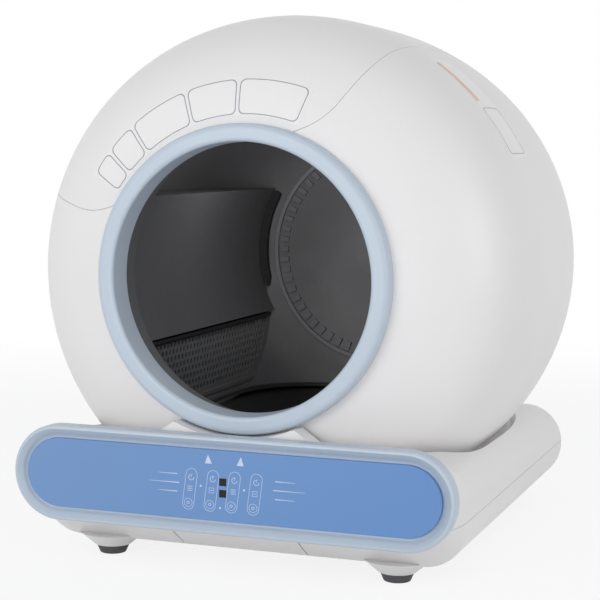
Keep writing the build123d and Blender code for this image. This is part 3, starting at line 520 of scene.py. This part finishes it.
def key_marks(mesh, centre, boxed):
    """One key field with a ringed dot, bars or a boxed bar, and an open circle with a tick."""
    stroke(mesh, pill(*centre, key_length, key_width, key_lean), True, frame_line)
    u, v = key_place(centre, ring_row * key_pitch)
    stroke(mesh, circle(u, v, ring_radius), True, frame_line)
    stroke(mesh, circle(u, v, ring_dot_radius, dot_sides), True)
    u, v = key_place(centre, bars_row * key_pitch)
    if boxed:
        box = [(u - box_half, v - box_half), (u + box_half, v - box_half),
               (u + box_half, v + box_half), (u - box_half, v + box_half)]
        stroke(mesh, box, True)
        stroke(mesh, [(u - box_bar_half, v), (u + box_bar_half, v)])
    else:
        for rise in bar_rises:
            stroke(mesh, [(u - bar_half, v + rise), (u + bar_half, v + rise)])
    u, v = key_place(centre, dial_row * key_pitch)
    stroke(mesh, circle(u, v, dial_radius, *dial_arc))
    stroke(mesh, [(u, v), (u, v + tick_length)])


def side_strokes(mesh, side):
    """Three parallel strokes beside the keys, on one side."""
    for step, (inner, outer) in enumerate(stroke_ends):
        v = stroke_top - stroke_pitch * step
        path = [(side * (inner + (outer - inner) * part / stroke_parts), v)
                for part in range(stroke_parts + 1)]
        line(mesh, path, False, fading, on_panel, mark_sunk, mark_proud)


def panel_marks():
    """All prints of the control panel, as one piece."""
    mesh = bmesh.new()
    for index, centre in enumerate(key_centres):
        key_marks(mesh, centre, index % 2)
    for left, right, base, top, tip in pointers:
        plate(mesh, [(left, base), (right, base), (tip, top)], on_panel, mark_sunk, mark_proud)
    for u, v in dot_centres:
        plate(mesh, circle(u, v, dot_radius, dot_sides), on_panel, mark_sunk, mark_proud)
    for side in (-1, 1):
        side_strokes(mesh, side)
    piece("panel_marks", mesh, "drawer", print_ink)


def surface(target, origin, direction, lift):
    """Point at a height over the first surface of a CAD node along a ray."""
    hit, place, normal, _ = target.ray_cast(origin, direction)
    if not hit:
        raise RuntimeError(f"no surface of {target.name} at {origin}")
    return place + normal * lift * millimetre


# Rays that find the surface start in front of the object, in millimetres, or outside the casing,
# in metres from the drum's axis
ray_start = -50.0
ray_reach = 0.3


def on_front(angle, radius, lift):
    """Point on the front of the cover at an angle and a radius about the drum's axis."""
    turn = math.radians(angle)
    start = Vector((radius * math.cos(turn), ray_start - half_depth,
                    axis_height + radius * math.sin(turn)))
    return surface(nodes["top_cover"], start * millimetre, Vector((0, 1, 0)), lift)


def on_side(angle, depth, lift):
    """Point on the side of the casing at an angle about the drum's axis and a depth."""
    turn = math.radians(angle)
    out = Vector((math.cos(turn), 0, math.sin(turn)))
    centre = Vector((0, depth - half_depth, axis_height)) * millimetre
    return surface(nodes["casing_shell"], centre + out * ray_reach, -out, lift)


def grid(mesh, place, first, second, columns, rows, lift):
    """Vertices at a height over a rectangle of surface coordinates."""
    return [[mesh.verts.new(place(first[0] + (first[1] - first[0]) * a / columns,
                                  second[0] + (second[1] - second[0]) * b / rows, lift))
             for b in range(rows + 1)] for a in range(columns + 1)]


def patch(mesh, place, first, second, columns, rows, sunk, proud):
    """Closed thin skin over a rectangle of surface coordinates."""
    low = grid(mesh, place, first, second, columns, rows, -sunk)
    high = grid(mesh, place, first, second, columns, rows, proud)
    for a in range(columns):
        for b in range(rows):
            mesh.faces.new((high[a][b], high[a + 1][b], high[a + 1][b + 1], high[a][b + 1]))
            mesh.faces.new((low[a][b], low[a][b + 1], low[a + 1][b + 1], low[a + 1][b]))
    rim = ([(a, 0) for a in range(columns)] + [(columns, b) for b in range(rows)]
           + [(a, rows) for a in range(columns, 0, -1)] + [(0, b) for b in range(rows, 0, -1)])
    for (a, b), (c, d) in zip(rim, rim[1:] + rim[:1]):
        mesh.faces.new((low[a][b], low[c][d], high[c][d], high[a][b]))


# Spacing of the points along the sides of an outline, in degrees and in millimetres
side_spacing = (1.0, 3.0)


def rounded_cell(first, second, corner_first, corner_second, count=6):
    """Rounded rectangle in surface coordinates, with points along its sides too."""
    corners = ((first[1], second[1], -1, -1, 0.0), (first[0], second[1], 1, -1, 90.0),
               (first[0], second[0], 1, 1, 180.0), (first[1], second[0], -1, 1, 270.0))
    points = []
    for u, v, side_u, side_v, start in corners:
        for step in range(count):
            turn = math.radians(start + 90.0 * step / (count - 1))
            points.append((u + side_u * corner_first + corner_first * math.cos(turn),
                           v + side_v * corner_second + corner_second * math.sin(turn)))
    fuller = []
    for here, there in zip(points, points[1:] + points[:1]):
        parts = max(1, round(abs(there[0] - here[0]) / side_spacing[0]),
                    round(abs(there[1] - here[1]) / side_spacing[1]))
        fuller += [(here[0] + (there[0] - here[0]) * step / parts,
                    here[1] + (there[1] - here[1]) * step / parts) for step in range(parts)]
    return fuller


def surface_line(mesh, path, place, width_first, width_second, sunk, proud):
    """Closed outline strip whose width is given in both surface coordinates."""
    count = len(path)
    centre_u = sum(u for u, v in path) / count
    centre_v = sum(v for u, v in path) / count
    span_u = max(u for u, v in path) - min(u for u, v in path)
    span_v = max(v for u, v in path) - min(v for u, v in path)
    inner = [(centre_u + (u - centre_u) * (1 - 2 * width_first / span_u),
              centre_v + (v - centre_v) * (1 - 2 * width_second / span_v)) for u, v in path]
    rings = []
    for a, b in zip(path, inner):
        rings.append([mesh.verts.new(place(*a, -sunk)), mesh.verts.new(place(*a, proud)),
                      mesh.verts.new(place(*b, proud)), mesh.verts.new(place(*b, -sunk))])
    for index in range(count):
        here, there = rings[index], rings[(index + 1) % count]
        for side in range(4):
            other = (side + 1) % 4
            mesh.faces.new((here[side], here[other], there[other], there[side]))


# Blank labels on the casing. Each has a thin pale film that is pressed into the shell by
# label_sunk, with outlined fields over it. A span is from and to in degrees about the drum's axis,
# and then from and to in millimetres of radius on the cover or of depth on the side. Corners and
# lines are also given in degrees and in millimetres, and a mesh is its faces in both directions.
label_sunk = 0.3
film_proud = 0.3
field_proud = 0.45
cover_film = ((70.6, 149.6), (156.5, 193.5))
cover_film_mesh = (80, 12)
cover_cells = ((141.6, 148.6), (131.3, 140.6), (111.2, 130.3), (94.0, 110.2), (71.4, 93.0))
cover_radii = (158.0, 192.0)
cover_corner = (1.8, 5.5)
cover_line = (0.28, 0.8)
side_film = ((27.0, 56.0), (172.0, 236.0))
side_film_mesh = (40, 20)
side_stripe = ((42.0, 54.5), (176.0, 186.0))
side_stripe_mesh = (20, 4)
side_cell = ((28.0, 40.0), (176.0, 232.0))
side_corner = (1.0, 4.0)
side_line = (0.14, 0.6)


def cover_label():
    """Blank label on the front of the cover, with five fields."""
    skin = bmesh.new()
    patch(skin, on_front, *cover_film, *cover_film_mesh, label_sunk, film_proud)
    piece("cover_label_film", skin, "cover", film)
    outlines = bmesh.new()
    for angles in cover_cells:
        cell = rounded_cell(angles, cover_radii, *cover_corner)
        surface_line(outlines, cell, on_front, *cover_line, label_sunk, field_proud)
    piece("cover_label_fields", outlines, "cover", label_ink)


def side_label():
    """Blank label on the right side of the casing, with a pale band along one edge."""
    skin = bmesh.new()
    patch(skin, on_side, *side_film, *side_film_mesh, label_sunk, film_proud)
    piece("side_label_film", skin, "base", film)
    stripe = bmesh.new()
    patch(stripe, on_side, *side_stripe, *side_stripe_mesh, label_sunk, field_proud)
    piece("side_label_band", stripe, "base", red_ink)
    outline = bmesh.new()
    cell = rounded_cell(*side_cell, *side_corner)
    surface_line(outline, cell, on_side, *side_line, label_sunk, field_proud)
    piece("side_label_field", outline, "base", label_ink)


# Painted shadow: a dark bead along the top of the grille that runs backwards under the septum
shadow_bead_centre = (-134.4, 206.4)
shadow_bead_half_width = 1.1
shadow_bead_half_height = 3.0
shadow_bead_ends = (102.0, 482.0)
shadow_bead_steps = 24
shadow_bead_sides = 12
shadow_bead_taper = 8.0
shadow_bead_end_share = 0.4


def shadow_bead_ring(mesh, depth):
    """Ring of vertices round the dark bead at a depth, smaller near its ends."""
    end = min(depth - shadow_bead_ends[0], shadow_bead_ends[1] - depth)
    size = shadow_bead_end_share + (1 - shadow_bead_end_share) * min(1.0, end / shadow_bead_taper)
    ring = []
    for side in range(shadow_bead_sides):
        turn = math.tau * side / shadow_bead_sides
        u = shadow_bead_centre[0] + shadow_bead_half_width * size * math.cos(turn)
        v = shadow_bead_centre[1] + shadow_bead_half_height * size * math.sin(turn)
        ring.append(mesh.verts.new(Vector((u, depth - half_depth, v)) * millimetre))
    return ring


def septum_shadow_bead():
    """Smooth dark bead made of rings along its depth, as painted shadow under the septum."""
    mesh = bmesh.new()
    rings = [shadow_bead_ring(mesh, shadow_bead_ends[0] + (shadow_bead_ends[1] - shadow_bead_ends[0]) * step / shadow_bead_steps)
             for step in range(shadow_bead_steps + 1)]
    for here, there in zip(rings, rings[1:]):
        for index in range(shadow_bead_sides):
            after = (index + 1) % shadow_bead_sides
            mesh.faces.new((here[index], here[after], there[after], there[index]))
    mesh.faces.new(rings[0][::-1])
    mesh.faces.new(rings[-1])
    made = piece("septum_shadow_bead", mesh, "drum", looks["black_plastic"])
    made.data.shade_smooth()


panel_marks()
cover_label()
side_label()
septum_shadow_bead()

# Floor, in metres. It shows white with distance, and at floor_white_share near the object, so
# that the object's shadow stays.
floor_half = 4.0
floor_fade_start = 0.75
floor_fade_end = 1.9
floor_white_share = 0.85
floor_colour = (0.9, 0.9, 0.9, 1.0)


def seen_rays(tree):
    """1 where a ray comes from the camera or through a reflection or glass."""
    path = tree.nodes.new("ShaderNodeLightPath")
    total = path.outputs["Is Camera Ray"]
    for name in ("Is Glossy Ray", "Is Transmission Ray"):
        total = number(tree, "MAXIMUM", total, path.outputs[name])
    return total


def floor_material():
    """Pale floor that fades to white where it is seen."""
    material, tree, shader = new_material("floor")
    shader.inputs["Base Color"].default_value = floor_colour
    shader.inputs["Roughness"].default_value = 0.9
    shader.inputs["Specular IOR Level"].default_value = 0.1
    place = tree.nodes.new("ShaderNodeTexCoord")
    distance = tree.nodes.new("ShaderNodeVectorMath")
    distance.operation = "LENGTH"
    tree.links.new(place.outputs["Object"], distance.inputs[0])
    fade = tree.nodes.new("ShaderNodeMapRange")
    fade.interpolation_type = "SMOOTHSTEP"
    fade.inputs["From Min"].default_value = floor_fade_start
    fade.inputs["From Max"].default_value = floor_fade_end
    fade.inputs["To Min"].default_value = floor_white_share
    tree.links.new(distance.outputs["Value"], fade.inputs["Value"])
    share = number(tree, "MULTIPLY", fade.outputs["Result"], seen_rays(tree))
    glow = tree.nodes.new("ShaderNodeEmission")
    mix = tree.nodes.new("ShaderNodeMixShader")
    tree.links.new(share, mix.inputs["Fac"])
    tree.links.new(shader.outputs["BSDF"], mix.inputs[1])
    tree.links.new(glow.outputs["Emission"], mix.inputs[2])
    tree.links.new(mix.outputs["Shader"], tree.nodes["Material Output"].inputs["Surface"])
    return material


def studio_floor():
    """Plain floor that is no piece of the object."""
    floor_mesh = bpy.data.meshes.new("floor")
    corners = [(-floor_half, -floor_half, 0), (floor_half, -floor_half, 0),
               (floor_half, floor_half, 0), (-floor_half, floor_half, 0)]
    floor_mesh.from_pydata(corners, [], [(0, 1, 2, 3)])
    floor_mesh.materials.append(floor_material())
    floor = bpy.data.objects.new("floor", floor_mesh)
    bpy.context.scene.collection.objects.link(floor)


# Soft lamps round the object: name, place, target, size and power
lamps = (("front", (-0.65, -2.45, 0.8), (0, 0, 0.3), (1.2, 0.8), 14.2),
         ("right", (2.35, -0.7, 0.8), (0, 0, 0.28), (1.2, 1.2), 10.6),
         ("left", (-1.8, -1.2, 1.5), (0, 0, 0.28), (1.2, 1.2), 2.5),
         ("low", (0.1, -2.3, 0.22), (0, -0.28, 0.14), (1.4, 0.35), 4.5))

# Narrow soft spots that shine through the entry alone, and a small fill inside the drum, so that
# the drum's inside is as well lit as its outside: places and powers
entry_middle = (0.0, -0.24, 0.287)
beam_radius = 0.03
beam_reach = 0.112
beam_blend = 0.35
beams = (((1.1, -2.2, 0.6), 5.0), ((0.6, -2.4, 0.2), 12.0), ((-0.2, -2.4, 0.5), 24.0),
         ((-0.8, -2.3, 0.3), 26.0))
fill_place = (-0.03, -0.02, 0.395)
fill_radius = 0.05
fill_power = 0.44

# Light from all round. What the camera, reflections and glass see of it is white.
ambient_colour = (0.94, 0.96, 1.0, 1.0)
ambient_strength = 0.55
backdrop_colour = (1.0, 1.0, 1.0, 1.0)


def put_light(name, data, place, target=None):
    """Light object at a place, aimed at a target, that the camera doesn't see."""
    made = bpy.data.objects.new(name, data)
    made.location = place
    if target is not None:
        aim = Vector(target) - Vector(place)
        made.rotation_euler = aim.to_track_quat("-Z", "Y").to_euler()
    made.visible_camera = False
    bpy.context.scene.collection.objects.link(made)


def lamp(name, place, target, size, power):
    """Soft rectangular lamp."""
    data = bpy.data.lights.new(name, "AREA")
    data.shape = "RECTANGLE"
    data.size, data.size_y = size
    data.energy = power
    put_light(name, data, place, target)


def beam(name, place, power):
    """Soft spot that lights the inside of the drum through the entry."""
    data = bpy.data.lights.new(name, "SPOT")
    away = (Vector(entry_middle) - Vector(place)).length
    data.spot_size = 2 * math.atan(beam_reach / away)
    data.spot_blend = beam_blend
    data.shadow_soft_size = beam_radius
    data.energy = power
    put_light(name, data, place, entry_middle)


def inner_fill():
    """Small soft light inside the drum."""
    data = bpy.data.lights.new("inner_fill", "POINT")
    data.energy = fill_power
    data.shadow_soft_size = fill_radius
    put_light("inner_fill", data, fill_place)


def surroundings():
    """World with an even light and a white backdrop."""
    world = bpy.data.worlds.new("world")
    world.use_nodes = True
    tree = world.node_tree
    ambient = tree.nodes["Background"]
    ambient.inputs["Color"].default_value = ambient_colour
    ambient.inputs["Strength"].default_value = ambient_strength
    backdrop = tree.nodes.new("ShaderNodeBackground")
    backdrop.inputs["Color"].default_value = backdrop_colour
    mix = tree.nodes.new("ShaderNodeMixShader")
    tree.links.new(seen_rays(tree), mix.inputs["Fac"])
    tree.links.new(ambient.outputs["Background"], mix.inputs[1])
    tree.links.new(backdrop.outputs["Background"], mix.inputs[2])
    tree.links.new(mix.outputs["Shader"], tree.nodes["World Output"].inputs["Surface"])
    bpy.context.scene.world = world


def lights():
    """All lamps, spots, the fill and the world."""
    for setting in lamps:
        lamp(*setting)
    for index, (place, power) in enumerate(beams):
        beam(f"beam_{index}", place, power)
    inner_fill()
    surroundings()


# Camera, fitted to the photograph: metres, degrees and, for the sensor and lens, millimetres
camera_place = (0.5828, -1.7202, 0.4186)
camera_azimuth = 19.4776
camera_elevation = 5.4206
camera_roll = 0.6902
sensor_width = 36.0
camera_lens = 99.756


def photo_camera():
    """Camera at the photograph's place and angle."""
    turn, tilt, roll = (math.radians(angle) for angle in
                        (camera_azimuth, camera_elevation, camera_roll))
    ahead = Vector((-math.sin(turn) * math.cos(tilt), math.cos(turn) * math.cos(tilt),
                    -math.sin(tilt)))
    level = Vector((math.cos(turn), math.sin(turn), 0.0))
    above = level.cross(ahead)
    right = math.cos(roll) * level + math.sin(roll) * above
    up = math.cos(roll) * above - math.sin(roll) * level
    data = bpy.data.cameras.new("camera")
    data.sensor_fit = "HORIZONTAL"
    data.sensor_width = sensor_width
    data.lens = camera_lens
    data.dof.use_dof = False
    made = bpy.data.objects.new("camera", data)
    facing = Matrix((right, up, -ahead)).transposed().to_4x4()
    made.matrix_world = Matrix.Translation(camera_place) @ facing
    bpy.context.scene.collection.objects.link(made)
    bpy.context.scene.camera = made


studio_floor()
lights()
photo_camera()
bpy.context.scene.view_settings.view_transform = "Standard"
